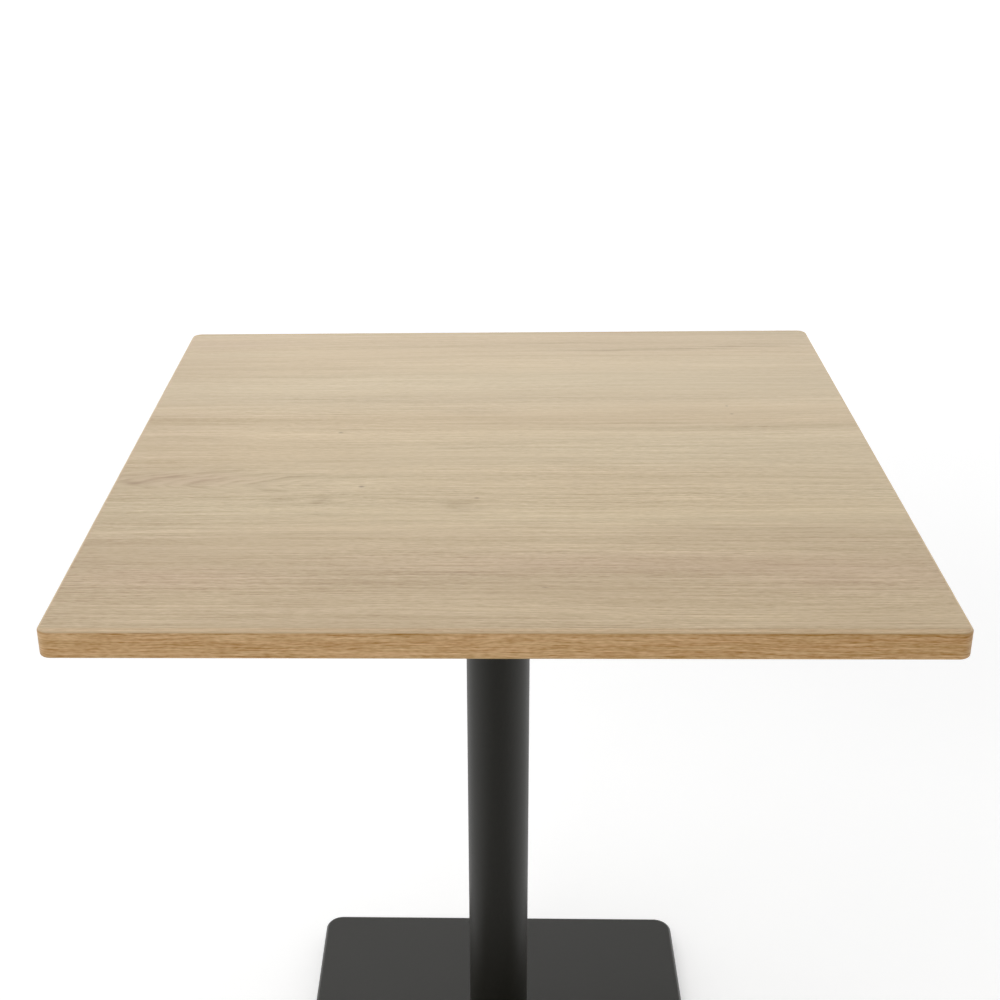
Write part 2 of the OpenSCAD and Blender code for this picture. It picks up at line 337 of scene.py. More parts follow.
# Colours of the band: two that it wanders between, then a painted highlight for its upper arris and painted
# shade for its lower arris
BAND_WARM = (0.572, 0.340, 0.148)
BAND_COOL = (0.558, 0.342, 0.146)
BAND_ARRIS_HIGHLIGHT = (0.560, 0.400, 0.220)
BAND_ARRIS_SHADE = (0.480, 0.345, 0.165)
# Where the colour of the top's front rim, the painted highlight on the band's upper arris and the painted
# shade on its lower arris set in, and where they are full
FRONT_RIM_Y = (-0.341, -0.344)
HIGHLIGHT_ARRIS_V = (0.0216, 0.0222)
SHADE_ARRIS_V = (0.0014, 0.0004)
# The arches: the tip of the outermost, how far their axis falls in each metre, and how many there are in one
ARCH_TIP = (-0.342, -0.0765)
ARCH_AXIS_FALL = 0.045
ARCH_RINGS = 19.0
ARCH_THIN_RINGS = 57.0


def spots(g, x, y, places):
    """The sum of soft ellipses at the given places, each as high in its middle as its strength."""
    made = []
    for middle_x, middle_y, half_length, half_width, strength in places:
        across = g.math("MULTIPLY", g.math("SUBTRACT", y, middle_y), 1 / half_width)
        along = g.math("MULTIPLY", g.math("SUBTRACT", x, middle_x), 1 / half_length)
        far = g.vector_math("LENGTH", g.join(along, across))
        made.append(g.span(far, 1.0, 0.0, 0.0, strength, smooth=True))
    return g.total(made)


def streaks(g, along, across, layers, seed):
    """Long thin noise round zero, as a sum of grain layers."""
    made = []
    for number, (per_length, per_width, weight) in enumerate(layers):
        where = g.join(g.math("MULTIPLY", along, per_length), g.math("MULTIPLY", across, per_width),
                       seed + 3.7 * number)
        level = g.noise(where, 1.0, detail=1.0, roughness=0.5)
        made.append(g.math("MULTIPLY", g.math("SUBTRACT", level, 0.5), weight))
    return g.total(made)


def pores(g, along, across, per_length, per_width, seed, rarity):
    """Short dark dashes: 1 in a pore, 0 between them."""
    where = g.join(g.math("MULTIPLY", along, per_length), g.math("MULTIPLY", across, per_width), seed)
    return g.span(g.noise(where, 1.0, detail=1.0), rarity, rarity + 0.12)


def cathedral(g, x, y):
    """Nested pointed arches at the top's left side, which open to the right, and where they lie."""
    ahead = g.math("SUBTRACT", x, ARCH_TIP[0])
    ripple = g.noise(g.join(g.math("MULTIPLY", x, 28), g.math("MULTIPLY", y, 80), 4.0), 1.0, detail=2.0)
    wobble = g.math("MULTIPLY", g.math("SUBTRACT", ripple, 0.5), 0.012)
    above = g.total([y, g.math("MULTIPLY", ahead, ARCH_AXIS_FALL), -ARCH_TIP[1], wobble])
    upper = g.math("MAXIMUM", above, 0.0)
    lower = g.math("MAXIMUM", g.math("MULTIPLY", above, -1.0), 0.0)
    # Each arm falls back from the tip, the lower one faster, so the upper arms are the longer.
    rise = g.math("MULTIPLY", upper, g.math("MULTIPLY_ADD", upper, 52.0, 0.75))
    fall = g.math("MULTIPLY", lower, g.math("MULTIPLY_ADD", lower, 60.0, 2.6))
    depth = g.math("SUBTRACT", g.math("SUBTRACT", ahead, rise), fall)
    ring = g.math("FRACT", g.math("MULTIPLY", depth, ARCH_RINGS))
    thin_ring = g.math("FRACT", g.math("MULTIPLY", depth, ARCH_THIN_RINGS))
    thin_line = g.math("MULTIPLY", g.span(thin_ring, 0.0, 0.16), g.span(thin_ring, 0.64, 0.16, 0.0, 0.55))
    line = g.math("MULTIPLY", g.span(ring, 0.0, 0.12), g.span(ring, 0.50, 0.12, 0.0, 0.80))
    line = g.math("MAXIMUM", line, thin_line)
    patches = g.noise(g.join(g.math("MULTIPLY", x, 24), g.math("MULTIPLY", y, 110), 8.0), 1.0, detail=1.0)
    patchy = g.span(patches, 0.36, 0.60, 0.20, 1.0)
    inside = g.math("MULTIPLY", g.span(above, 0.040, 0.024, smooth=True),
                    g.span(above, -0.024, -0.008, smooth=True))
    inside = g.math("MULTIPLY", inside, g.span(x, -0.13, -0.20, smooth=True))
    strength = g.math("MULTIPLY", inside, g.span(above, -0.010, 0.002, 0.45, 1.0))
    return g.math("MULTIPLY", g.math("MULTIPLY", line, patchy), strength), inside


def oak_face():
    """Matt oak-pattern laminate on the top: straight grain along X."""
    g = Graph("oak_laminate")
    x, raw_y, _ = g.axes(g.place)
    slow = g.noise(g.stretch(g.place, (2.4, 9.0, 1.0)), 1.0, detail=1.0)
    quick = g.noise(g.stretch(g.place, (13.0, 40.0, 1.0), (5, 2, 0)), 1.0, detail=1.0)
    y = g.total([raw_y, g.math("MULTIPLY", g.math("SUBTRACT", slow, 0.5), 0.024),
                 g.math("MULTIPLY", g.math("SUBTRACT", quick, 0.5), 0.0006)])
    near_y = g.math("MULTIPLY_ADD", g.math("SUBTRACT", quick, 0.5), 0.010, raw_y)

    figure = g.noise(g.stretch(g.place, (3.0, 26.0, 1.0), (2, 6, 0)), 1.0, detail=1.0)
    figure = g.span(figure, 0.35, 0.65, 0.75, 1.25)
    calm = g.span(raw_y, -0.10, 0.24, 1.11, 0.57)
    fine_grain = g.math("MULTIPLY", streaks(g, x, y, FINE_GRAIN, seed=20.0), g.math("MULTIPLY", figure, calm))
    grain = g.math("ADD", streaks(g, x, y, BROAD_GRAIN, seed=1.0), fine_grain)
    broken = g.span(streaks(g, x, y, [(9.0, 160, 1.0), (30.0, 500, 0.8)], seed=31.0), -0.22, 0.22, 0.35, 1.25)
    dark = g.math("MULTIPLY", spots(g, x, near_y, DARK_LINES), broken)
    light = g.math("MULTIPLY", spots(g, x, near_y, LIGHT_LINES), broken)
    smudge = g.math("MULTIPLY", spots(g, x, near_y, SMUDGES), broken)
    pins = spots(g, x, raw_y, PIN_KNOTS)
    arches, arched = cathedral(g, x, raw_y)
    grain = g.math("MULTIPLY", grain, g.math("MULTIPLY_ADD", arched, -0.55, 1.0))

    openness = g.noise(g.stretch(g.place, (1.5, 20.0, 1.0), (9, 4, 0)), 1.0, detail=1.0)
    openness = g.span(openness, 0.35, 0.65, 0.3, 1.0)
    fine = g.math("MULTIPLY", pores(g, x, y, 70, 1500, 12.0, 0.60), openness)
    long_pores = g.math("MULTIPLY", pores(g, x, y, 28, 800, 17.0, 0.63), openness)
    pore_depth = g.math("MULTIPLY_ADD", long_pores, 0.6, fine)
    dark_threads = g.math("MULTIPLY", pores(g, x, y, 4, 420, 71.0, 0.58), 0.050)
    light_threads = g.math("MULTIPLY", pores(g, x, y, 7, 520, 83.0, 0.58), 0.035)

    # Broad bands of the pattern, with the painted shade over the top's left side.
    bands_and_shade = spots(g, x, near_y, BROAD_BANDS_AND_SHADE)
    marks = g.math("MULTIPLY", g.total([dark, smudge, g.math("MULTIPLY", arches, 0.32)]),
                   g.span(raw_y, -0.20, 0.30, 1.10, 1.45))
    level = g.math("SUBTRACT", g.total([grain, bands_and_shade, light, light_threads]),
                   g.math("ADD", marks, dark_threads))
    brown = g.total([g.math("MULTIPLY", pins, 1.3), g.math("MULTIPLY", pore_depth, 0.09)])

    wander = g.noise(g.stretch(g.place, (1.3, 9.0, 1.0), (3, 8, 0)), 1.0, detail=1.0)
    base = g.mix(g.span(wander, 0.35, 0.65), TOP_WARM, TOP_COOL)
    # Painted shade: the front of the top is made darker and browner.
    base = g.mix(g.span(raw_y, -0.12, -0.22, smooth=True), base, TOP_FRONT_SHADE)
    base = g.mix(spots(g, x, raw_y, RED_BANDS), base, TOP_RED)
    base = g.mix(spots(g, x, raw_y, YELLOW_BANDS), base, TOP_YELLOW)
    base = g.mix(g.span(raw_y, *FRONT_RIM_Y, smooth=True), base, TOP_RIM)
    base = g.vector_math("ADD", base, g.brighten(TOP_GRAIN_TINT, level))
    base = g.mix(brown, base, PORE_BROWN)

    relief = g.math("ADD", g.math("MULTIPLY", grain, 0.8), g.math("MULTIPLY", pore_depth, -0.5))
    shine = g.total([0.41, g.math("MULTIPLY", grain, -0.25), g.math("MULTIPLY", pore_depth, 0.10)])
    return g.finish(Base_Color=base, Roughness=shine, Specular_IOR_Level=0.5,
                    Normal=g.bump(relief, 0.00012, 0.5))


def oak_edge():
    """Satin oak-pattern band; its UVs are metres along the band and up it."""
    g = Graph("oak_band")
    uv = g.node("ShaderNodeUVMap", uv_map="band").outputs[0]
    u, v, _ = g.axes(uv)
    sway = g.noise(g.stretch(uv, (16.0, 60.0, 1.0)), 1.0, detail=2.0)
    slow = g.noise(g.stretch(uv, (4.0, 20.0, 1.0), (3, 1, 0)), 1.0, detail=1.0)
    across = g.total([v, g.math("MULTIPLY", g.math("SUBTRACT", sway, 0.5), 0.0050),
                      g.math("MULTIPLY", g.math("SUBTRACT", slow, 0.5), 0.0120)])
    grain = streaks(g, u, across, BAND_GRAIN, seed=50.0)
    pore_depth = pores(g, u, across, 60, 1900, 60.0, 0.60)
    # The band's marks, with the painted shade over its right end.
    level = g.math("SUBTRACT", g.math("ADD", grain, spots(g, u, v, BAND_MARKS_AND_SHADE)),
                   g.math("MULTIPLY", pore_depth, 0.10))
    hue = g.noise(g.stretch(uv, (12.0, 260.0, 1.0), (7, 7, 0)), 1.0, detail=1.0)
    base = g.mix(g.span(hue, 0.38, 0.62), BAND_WARM, BAND_COOL)
    base = g.vector_math("ADD", base, g.brighten(BAND_GRAIN_TINT, level))
    # A painted highlight along the band's upper arris, and painted shade along its lower arris.
    base = g.mix(g.span(v, *HIGHLIGHT_ARRIS_V, smooth=True), base, BAND_ARRIS_HIGHLIGHT)
    base = g.mix(g.span(v, *SHADE_ARRIS_V, smooth=True), base, BAND_ARRIS_SHADE)
    shine = g.total([0.38, g.math("MULTIPLY", pore_depth, 0.12)])
    return g.finish(Base_Color=base, Roughness=shine, Specular_IOR_Level=0.5,
                    Normal=g.bump(g.math("SUBTRACT", grain, pore_depth), 0.00008, 0.5))


# ---------------------------------------------------------------- other materials


def particle_board():
    """Pressed chips of several tones."""
    g = Graph("particle_board")
    chips = g.cells(g.stretch(g.place, (1.0, 2.2, 2.2)), 420)
    tint = g.span(g.axes(chips["Color"])[0], 0.0, 1.0)
    base = g.mix(tint, (0.30, 0.19, 0.09), (0.56, 0.42, 0.25))
    return g.finish(Base_Color=base, Roughness=0.85, Normal=g.bump(tint, 0.0003, 0.6))


def backing_sheet():
    """Pale balancing laminate with a fine pebble texture."""
    g = Graph("backing_laminate")
    pebble = g.noise(g.place, 2600, detail=2.0)
    cloud = g.noise(g.place, 9, detail=3.0)
    base = g.mix(g.span(cloud, 0.3, 0.7), (0.55, 0.53, 0.49), (0.60, 0.58, 0.54))
    return g.finish(Base_Color=base, Roughness=g.span(pebble, 0.3, 0.7, 0.50, 0.64),
                    Normal=g.bump(pebble, 0.00006, 0.6))


def powder_coat():
    """Satin black powder coat, with the fine orange peel that it cures to."""
    g = Graph("black_powder_coat")
    peel = g.noise(g.place, 900, detail=2.0, roughness=0.6)
    wide = g.noise(g.place, 140, detail=1.0)
    drift = g.noise(g.place, 6, detail=2.0)
    height = g.math("MULTIPLY_ADD", wide, 1.5, peel)
    base = g.mix(g.span(peel, 0.35, 0.65), (0.0108, 0.0099, 0.0060), (0.0153, 0.0143, 0.0098))
    rough = g.math("ADD", g.span(peel, 0.3, 0.7, 0.36, 0.46), g.span(drift, 0.3, 0.7, -0.02, 0.02))
    return g.finish(Base_Color=base, Roughness=rough, Specular_IOR_Level=0.5,
                    Normal=g.bump(height, 0.00010, 0.35))


def casting():
    """Black paint over the sandy skin of a casting."""
    g = Graph("painted_casting")
    sand = g.noise(g.place, 700, detail=4.0, roughness=0.7)
    lumps = g.noise(g.place, 90, detail=2.0)
    height = g.math("MULTIPLY_ADD", lumps, 2.0, sand)
    base = g.mix(g.span(sand, 0.35, 0.7), (0.012, 0.012, 0.011), (0.028, 0.027, 0.025))
    return g.finish(Base_Color=base, Roughness=g.span(sand, 0.3, 0.7, 0.46, 0.66),
                    Normal=g.bump(height, 0.00035, 0.7))


def zinc_plate():
    """Bright zinc plate: a bluish metal with faint spangle and drawing marks."""
    g = Graph("zinc_plate")
    spangle = g.noise(g.place, 260, detail=3.0, roughness=0.6)
    marks = g.noise(g.stretch(g.place, (1.0, 1.0, 14.0)), 420, detail=2.0)
    base = g.mix(g.span(spangle, 0.35, 0.65), (0.52, 0.54, 0.57), (0.66, 0.68, 0.70))
    return g.finish(Base_Color=base, Metallic=1.0, Roughness=g.span(spangle, 0.3, 0.7, 0.24, 0.38),
                    Normal=g.bump(marks, 0.00003, 0.4))


def moulded_nylon():
    """Black moulded nylon with a light spark-eroded texture."""
    g = Graph("moulded_nylon")
    spark = g.noise(g.place, 1800, detail=3.0, roughness=0.7)
    base = g.mix(g.span(spark, 0.3, 0.7), (0.012, 0.012, 0.012), (0.024, 0.024, 0.024))
    return g.finish(Base_Color=base, Roughness=g.span(spark, 0.3, 0.7, 0.42, 0.60),
                    Normal=g.bump(spark, 0.00005, 0.5))


def soft_rubber():
    """Matt black rubber."""
    g = Graph("soft_rubber")
    skin = g.noise(g.place, 1400, detail=2.0)
    base = g.mix(g.span(skin, 0.3, 0.7), (0.010, 0.010, 0.010), (0.020, 0.020, 0.019))
    return g.finish(Base_Color=base, Roughness=g.span(skin, 0.3, 0.7, 0.72, 0.86),
                    Normal=g.bump(skin, 0.00005, 0.4))


MATERIALS = {
    "oak_face": oak_face(),
    "oak_edge": oak_edge(),
    "core_board": particle_board(),
    "backing_sheet": backing_sheet(),
    "black_powder_coat": powder_coat(),
    "black_casting": casting(),
    "zinc_steel": zinc_plate(),
    "black_nylon": moulded_nylon(),
    "black_rubber": soft_rubber(),
}


def dress_cad_nodes():
    """Gives each CAD node the material of its record slot."""
    slots = {part["node"]: part["material_slot"] for part in frame["record"]["subparts"]}
    for name, piece in frame["nodes"].items():
        for material_slot in piece.material_slots:
            material_slot.material = MATERIALS[slots[name]]


# ---------------------------------------------------------------- meshes


def object_from(name, bm, sharp_degrees=SHARP_DEGREES):
    """A smooth object from a bmesh: edges over the given angle stay sharp, and flat faces stay flat."""
    bmesh.ops.recalc_face_normals(bm, faces=bm.faces)
    if bm.calc_volume(signed=True) < 0:
        bmesh.ops.reverse_faces(bm, faces=bm.faces)
    for face in bm.faces:
        face.smooth = True
    for edge in bm.edges:
        edge.smooth = edge.calc_face_angle(0) < math.radians(sharp_degrees)
    mesh = bpy.data.meshes.new(name)
    bm.to_mesh(mesh)
    bm.free()
    made = bpy.data.objects.new(name, mesh)
    bpy.context.scene.collection.objects.link(made)
    made.modifiers.new("flat_faces", "WEIGHTED_NORMAL").keep_sharp = True
    return made


def add_piece(name, bm, slot, body, *replaced, sharp_degrees=SHARP_DEGREES):
    """Makes a piece from a bmesh, rides it on a body and lets it stand for CAD nodes."""
    made = object_from(name, bm, sharp_degrees)
    made.data.materials.append(MATERIALS[slot])
    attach(made, body)
    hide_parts(*replaced)
    return made


def join_rings(bm, rings, closed=True):
    """Faces between each ring of vertices and the next. A ring of one vertex is a tip on the axis."""
    count = max(len(ring) for ring in rings)
    for here, there in zip(rings, rings[1:] + rings[:1] if closed else rings[1:]):
        for index in range(count):
            corners = []
            for ring, place in ((here, index), (here, index + 1), (there, index + 1), (there, index)):
                corner = ring[place % len(ring)]
                if corner not in corners:
                    corners.append(corner)
            if len(corners) > 2:
                bm.faces.new(corners)


def soften(outline, reach, steps=4):
    """The outline with each corner off the axis cut by a curve that starts the given distance before it."""
    made = []
    for index, (radius, height) in enumerate(outline):
        corner = Vector((radius, height))
        if radius == 0:
            made.append(corner)
            continue
        start, end = (corner + (Vector(other) - corner) * min(0.45, reach / (Vector(other) - corner).length)
                      for other in (outline[index - 1], outline[(index + 1) % len(outline)]))
        for step in range(steps + 1):
            part = step / steps
            made.append(start.lerp(corner, part).lerp(corner.lerp(end, part), part))
    return made


def on_cylinder(middle, radius, angle, height):
    """A point on an upright cylinder."""
    return middle[0] + radius * math.cos(angle), middle[1] + radius * math.sin(angle), height


def turn(bm, outline, middle=(0, 0), segments=96):
    """Turns a closed outline of (radius, height) points about an upright axis."""
    angles = [math.tau * step / segments for step in range(segments)]
    rings = []
    for radius, height in outline:
        places = angles if radius > 0 else angles[:1]
        rings.append([bm.verts.new(on_cylinder(middle, radius, angle, height)) for angle in places])
    join_rings(bm, rings)


def helical_thread(bm, crest_r, root_r, pitch, low, high, middle=(0, 0), segments=48):
    """A right-hand thread with flat crests and roots, which runs out flush at both ends."""
    # One tooth: the share of the pitch at which each row starts, and the row's radius
    tooth = ((0.0, root_r), (0.25, root_r), (0.5625, crest_r), (0.6875, crest_r))
    turns = math.ceil((high - low) / pitch) + 1
    rows = []
    for row in range(len(tooth) * turns):
        share, radius = tooth[row % len(tooth)]
        start = low + pitch * (row // len(tooth) + share - 1)
        climb = []
        for step in range(segments):
            angle = math.tau * step / segments
            height = start + pitch * step / segments
            reach = radius if low < height < high else root_r
            climb.append(bm.verts.new(on_cylinder(middle, reach, angle, min(max(height, low), high))))
        rows.append(climb)
    # A row's last point meets the first point of the same row one turn up.
    for row, (here, there) in enumerate(zip(rows, rows[1:])):
        for step in range(segments - 1):
            bm.faces.new((here[step], here[step + 1], there[step + 1], there[step]))
        turn_up = row + len(tooth)
        if turn_up + 1 < len(rows):
            bm.faces.new((here[-1], rows[turn_up][0], rows[turn_up + 1][0], there[-1]))
    bmesh.ops.remove_doubles(bm, verts=bm.verts, dist=SAME_POINT)
    bmesh.ops.dissolve_degenerate(bm, edges=bm.edges, dist=SAME_POINT)
    bmesh.ops.holes_fill(bm, edges=[edge for edge in bm.edges if edge.is_boundary], sides=0)


def eased_copy(node, reach):
    """A CAD node's mesh with its sharp edges rounded."""
    bm = bmesh.new()
    bm.from_mesh(frame["nodes"][node].data)
    bmesh.ops.remove_doubles(bm, verts=bm.verts, dist=5 * SAME_POINT)
    # Each flat face becomes one polygon, so that only real edges are left to round.
    bmesh.ops.dissolve_limit(bm, angle_limit=math.radians(1), verts=bm.verts, edges=bm.edges)
    sharp = [edge for edge in bm.edges if edge.calc_face_angle(0) > math.radians(30)]
    bmesh.ops.bevel(bm, geom=sharp, offset=reach, segments=2, profile=0.5, affect="EDGES")
    bmesh.ops.remove_doubles(bm, verts=bm.verts, dist=SAME_POINT)
    bmesh.ops.dissolve_degenerate(bm, edges=bm.edges, dist=SAME_POINT)
    # A point between only two faces would make them overlap once they are cut into triangles.
    bmesh.ops.dissolve_verts(bm, verts=[vert for vert in bm.verts if len(vert.link_edges) == 2])
    return bm


def corner_turns(half, radius, steps=16):
    """(centre, outward direction) for each point round a square with round corners, anticlockwise."""
    turns = []
    for corner, (sign_x, sign_y) in enumerate(((1, -1), (1, 1), (-1, 1), (-1, -1))):
        centre = Vector((sign_x, sign_y)) * (half - radius)
        for step in range(steps + 1):
            angle = math.radians(90) * (corner - 1 + step / steps)
            turns.append((centre, Vector((math.cos(angle), math.sin(angle)))))
    return turns


def square_rings(bm, half, radius, section):
    """A ring of vertices round a square with round corners for each (inset, height) of a section."""
    turns = corner_turns(half, radius)
    return [[bm.verts.new((*(centre + outward * (radius - inset)), height)) for centre, outward in turns]
            for inset, height in section]


def arc(centre_x, centre_y, radius, start, end, steps=6):
    """Points of an arc in a section, in degrees."""
    angles = [math.radians(start + (end - start) * step / steps) for step in range(steps + 1)]
    return [(centre_x + radius * math.cos(a), centre_y + radius * math.sin(a)) for a in angles]


def build_edge_band():
    """The banding, swept round the top from its joint at the back. Its UVs are metres along it and up it."""
    low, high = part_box("edge_band")
    thick = high.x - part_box("face_laminate")[1].x
    section = [(thick, low.z + HAIRLINE), (thick - HAIRLINE, low.z)]
    section += arc(BAND_ARRIS_R, low.z + BAND_ARRIS_R, BAND_ARRIS_R, 270, 180)
    section += arc(BAND_ARRIS_R, high.z - BAND_ARRIS_R, BAND_ARRIS_R, 180, 90)
    section += [(thick - HAIRLINE, high.z), (thick, high.z - HAIRLINE)]

    bm = bmesh.new()
    rings = square_rings(bm, high.x, TOP_CORNER_R, section)
    join_rings(bm, rings)
    # Lengths along the band are measured at its lower arris.
    measured = rings[3]
    count = len(measured)
    joint = count // 2
    along = {}
    walked = 0.0
    for step in range(count):
        index = (joint + step) % count
        if step:
            walked += (measured[index].co - measured[index - 1].co).length
        for ring in rings:
            along[ring[index]] = walked
    around = walked + (measured[joint].co - measured[joint - 1].co).length
    layer = bm.loops.layers.uv.new("band")
    for face in bm.faces:
        crosses_start = max(along[v] for v in face.verts) - min(along[v] for v in face.verts) > around / 2
        for loop in face.loops:
            u = along[loop.vert]
            loop[layer].uv = (u + around if crosses_start and u < around / 2 else u, loop.vert.co.z - low.z)
    add_piece("edge_banding", bm, "oak_edge", "table", "edge_band")


def build_face_sheet():
    """The top's face sheet, with a hair of chamfer round it."""
    low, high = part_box("face_laminate")
    band_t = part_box("edge_band")[1].x - high.x
    section = [(HAIRLINE, low.z), (0, low.z + HAIRLINE), (0, high.z - HAIRLINE), (HAIRLINE, high.z)]
    bm = bmesh.new()
    rings = square_rings(bm, high.x, TOP_CORNER_R - band_t, section)
    join_rings(bm, rings, closed=False)
    bm.faces.new(rings[0])
    bm.faces.new(rings[-1])
    add_piece("face_sheet", bm, "oak_face", "table", "face_laminate", sharp_degrees=20)


def ring_outline(inner_r, outer_r, low, high):
    """The square-cornered outline of a ring, or of a solid cylinder where its inner radius is 0."""
    return [(inner_r, low), (outer_r, low), (outer_r, high), (inner_r, high)]


def build_column():
    """The tube, with its cut ends eased, and the rubber ring that it stands on."""
    low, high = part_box("column_tube")
    bm = bmesh.new()
    turn(bm, soften(ring_outline(high.x - TUBE_WALL, high.x, low.z, high.z), 0.4 * MM), segments=160)
    add_piece("column", bm, "black_powder_coat", "table", "column_tube")

    low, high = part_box("column_gasket")
    bm = bmesh.new()
    turn(bm, soften(ring_outline(GASKET_INNER_R, high.x, low.z, high.z), 0.5 * MM), segments=128)
    add_piece("rubber_ring", bm, "black_rubber", "table", "column_gasket")


def build_base_cover():
    """The pressed cover: a flat sheet with a round hole, turned down round its edge."""
    low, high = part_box("base_cover")
    lip = 0.3 * MM
    hole_steps = 96
    hole_angles = [math.tau * step / hole_steps for step in range(hole_steps)]
    bend = high.z - COVER_EDGE_R
    # The flat starts just short of the round corners' centres.
    flat = COVER_CORNER_R - 1 * MM
    outside = [(lip, low.z), (0, low.z + lip)] + arc(COVER_EDGE_R, bend, COVER_EDGE_R, 180, 90, 10)
    outside.append((flat, high.z))
    inside = [(flat, high.z - COVER_SHEET)]
    inside += arc(COVER_EDGE_R, bend, COVER_EDGE_R - COVER_SHEET, 90, 180, 8)
    inside += [(COVER_SHEET, low.z + lip), (COVER_SHEET - lip, low.z)]
    bm = bmesh.new()
    rings = square_rings(bm, high.x, COVER_CORNER_R, outside + inside)
    join_rings(bm, rings, closed=False)
    join_rings(bm, [rings[-1], rings[0]], closed=False)
    # The flat of the sheet is filled in afresh on both sides, from these two outlines to the hole.
    upper, lower = rings[len(outside) - 1], rings[len(outside)]
    for face in [f for f in bm.faces if set(f.verts) <= set(upper) | set(lower)]:
        bm.faces.remove(face)
    holes = []
    for height, ring in ((high.z, upper), (high.z - COVER_SHEET, lower)):
        hole = [bm.verts.new(on_cylinder((0, 0), COVER_HOLE_R, angle, height)) for angle in hole_angles]
        edges = [bm.edges.new((hole[step - 1], hole[step])) for step in range(hole_steps)]
        edges += [bm.edges.get((ring[step - 1], ring[step])) for step in range(len(ring))]
        bmesh.ops.triangle_fill(bm, edges=[e for e in edges if e], use_beauty=True)
        holes.append(hole)
    join_rings(bm, holes, closed=False)
    add_piece("pressed_cover", bm, "black_powder_coat", "table", "base_cover")


def build_castings():
    """The spider and the ballast, with the soft edges that sand moulds leave."""
    for name, node in (("spider_casting", "mounting_spider"), ("ballast_casting", "base_ballast")):
        add_piece(name, eased_copy(node, CASTING_EASE), "black_casting", "table", node)


def build_fasteners():
    """The screws, nuts and washers with their edges eased, and the tie rod with true threads."""
    for node, reach in (("spider_screws", 0.12 * MM), ("upper_nut", 0.15 * MM), ("lower_nut", 0.15 * MM),
                        ("upper_washer", 0.2 * MM), ("lower_washer", 0.2 * MM),
                        ("upper_spring_washer", 0.15 * MM), ("lower_spring_washer", 0.15 * MM)):
        add_piece(node + "_zinc", eased_copy(node, reach), "zinc_steel", "table", node)
    low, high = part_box("tie_rod")
    bm = bmesh.new()
    for start, end in ((low.z, low.z + ROD_THREAD), (high.z - ROD_THREAD, high.z)):
        helical_thread(bm, ROD_R, ROD_ROOT_R, ROD_PITCH, start, end)
    # The plain middle is as thick as the blank that threads are rolled from, and reaches into them a little.
    plain_r = ROD_ROOT_R + 0.5 * MM
    start, end = low.z + ROD_THREAD - EMBED, high.z - ROD_THREAD + EMBED
    turn(bm, soften(ring_outline(0, plain_r, start, end), 0.4 * MM, steps=2), segments=48)
    add_piece("threaded_rod", bm, "zinc_steel", "table", "tie_rod")


def build_foot(corner):
    """One levelling foot: a turned pad with a grooved sole, and a hexagon stud with an M8 thread."""
    low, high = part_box("foot_pad_" + corner)
    middle = ((low.x + high.x) / 2, (low.y + high.y) / 2)
    rim = (high.x - low.x) / 2
    socket_r = STUD_R + 0.05 * MM
    sole, top = low.z, high.z
    outline = [(0, sole + SOLE_GROOVE), (SOLE_DIMPLE_R, sole + SOLE_GROOVE)]
    for radius in SOLE_RINGS:
        ring_end = radius + SOLE_RING_W
        groove = ring_end + SOLE_RING_SLOPE
        outline += [(radius, sole), (ring_end, sole),
                    (groove, sole + SOLE_GROOVE), (groove + SOLE_RING_GAP, sole + SOLE_GROOVE)]
    # The last ring has no groove after it, and runs out to the rim.
    outline = outline[:-2] + [(rim - 1.0 * MM, sole), (rim, sole + 1.0 * MM), (rim, top - 2.0 * MM),
                              (PAD_TOP_R, top), (socket_r, top), (socket_r, top - STUD_PLAIN_END),
                              (0, top - STUD_PLAIN_END)]
    bm = bmesh.new()
    turn(bm, soften(outline, 0.35 * MM, steps=3), middle, 72)
    add_piece("levelling_pad_" + corner, bm, "black_nylon", "pad_" + corner, "foot_pad_" + corner)

    low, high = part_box("foot_stud_" + corner)
    hex_low = low.z + STUD_PLAIN_END
    hex_high = hex_low + STUD_HEX_H
    bm = bmesh.new()
    helical_thread(bm, STUD_R, STUD_ROOT_R, STUD_PITCH, hex_high - EMBED, high.z, middle)
    turn(bm, soften(ring_outline(0, STUD_R, low.z, hex_low + EMBED), 0.4 * MM), middle, 48)
    hex_r = STUD_HEX_AF / math.sqrt(3)
    hexagon = bmesh.ops.create_cone(bm, cap_ends=True, segments=6, radius1=hex_r, radius2=hex_r,
                                    depth=STUD_HEX_H,
                                    matrix=Matrix.Translation((*middle, (hex_low + hex_high) / 2)))
    edges = {edge for vertex in hexagon["verts"] for edge in vertex.link_edges}
    bmesh.ops.bevel(bm, geom=list(edges), offset=0.35 * MM, segments=3, profile=0.5, affect="EDGES")
    add_piece("levelling_stud_" + corner, bm, "zinc_steel", "stud_" + corner, "foot_stud_" + corner)


# ---------------------------------------------------------------- stage, light and camera


def build_floor():
    """A large pale disc. Gloss on the table reflects the studio's walls in its place."""
    bm = bmesh.new()
    bmesh.ops.create_circle(bm, cap_ends=True, segments=96, radius=FLOOR_R)
    floor = object_from("floor", bm)
    floor.visible_glossy = False
    g = Graph("pale_floor")
    speck = g.noise(g.place, 3.0, detail=2.0)
    away = g.span(g.vector_math("LENGTH", g.place), 1.0, 4.5, 0.36, 0.72, smooth=True)
    g.finish(Base_Color=g.mix(speck, (0.86, 0.86, 0.86), (0.88, 0.88, 0.88)), Roughness=0.8,
             Specular_IOR_Level=0.0, Emission_Color=(1.0, 1.0, 1.0), Emission_Strength=away)
    floor.data.materials.append(g.owner)


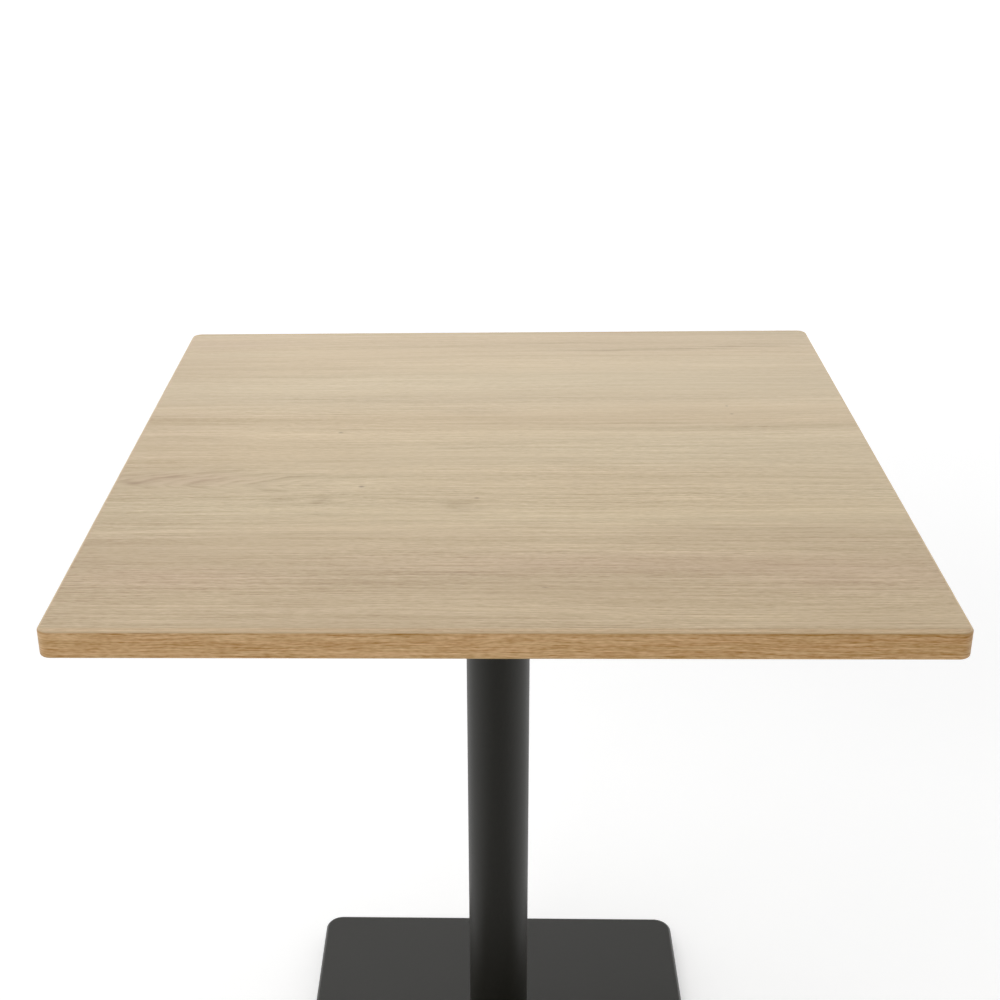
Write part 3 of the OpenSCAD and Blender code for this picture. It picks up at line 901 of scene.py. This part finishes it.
def build_world():
    """White studio walls: dim behind the camera, and brightest low down behind the table."""
    g = Graph("studio", bpy.data.worlds.new("studio"))
    _, y, z = g.axes(g.place)
    walls = g.math("ADD", g.span(y, -1.0, -0.30, 0.18, 0.68), g.span(y, -0.30, 0.30, 0.0, 0.15))
    walls = g.math("MULTIPLY", walls, g.span(z, 0.30, 0.60, 1.0, 0.5))
    low = g.math("MULTIPLY", g.span(z, 0.45, 0.25, smooth=True), g.span(z, -0.20, 0.0, smooth=True))
    sweep = g.math("MULTIPLY", g.math("MULTIPLY", low, g.span(y, 0.5, 0.85, smooth=True)), SWEEP_LIGHT)
    # What the camera itself sees is plain white.
    seen = g.node("ShaderNodeLightPath").outputs["Is Camera Ray"]
    light = g.math("MULTIPLY", g.math("ADD", walls, sweep), g.math("SUBTRACT", 1.0, seen))
    level = g.math("ADD", light, seen)
    bpy.context.scene.world = g.finish(Color=(1.0, 1.0, 1.0), Strength=level)


def add_softbox(name, place, size, energy, target=(0, 0, 0.7)):
    """A rectangular lamp that faces the target, by default a point just under the top."""
    light = bpy.data.lights.new(name, "AREA")
    light.shape = "RECTANGLE"
    light.size, light.size_y = size
    light.energy = energy
    lamp = bpy.data.objects.new(name, light)
    lamp.location = place
    lamp.rotation_euler = (Vector(target) - Vector(place)).to_track_quat("-Z", "Y").to_euler()
    bpy.context.scene.collection.objects.link(lamp)


def build_camera():
    """At the photograph's viewing angle: above and in front, turned and tilted a little to one side."""
    data = bpy.data.cameras.new("camera")
    data.sensor_width = CAMERA_SENSOR_MM
    data.lens = CAMERA_LENS_MM
    data.shift_x = CAMERA_SHIFT
    camera = bpy.data.objects.new("camera", data)
    aim = (Matrix.Rotation(CAMERA_TURN, 4, "Z") @ Matrix.Rotation(math.pi / 2 - CAMERA_DOWN, 4, "X")
           @ Matrix.Rotation(-CAMERA_TILT, 4, "Z"))
    camera.matrix_world = Matrix.Translation(CAMERA_PLACE) @ aim
    bpy.context.scene.collection.objects.link(camera)
    bpy.context.scene.camera = camera


dress_cad_nodes()
build_edge_band()
build_face_sheet()
build_column()
build_base_cover()
build_castings()
build_fasteners()
for foot_corner in FOOT_CORNERS:
    build_foot(foot_corner)
build_floor()
build_world()
add_softbox("overhead", (-0.5, 0.9, 2.9), (2.4, 2.4), 24)
add_softbox("front_key", (-1.3, -2.4, 2.7), (1.8, 1.8), 21)
build_camera()
bpy.context.scene.view_settings.view_transform = "Standard"
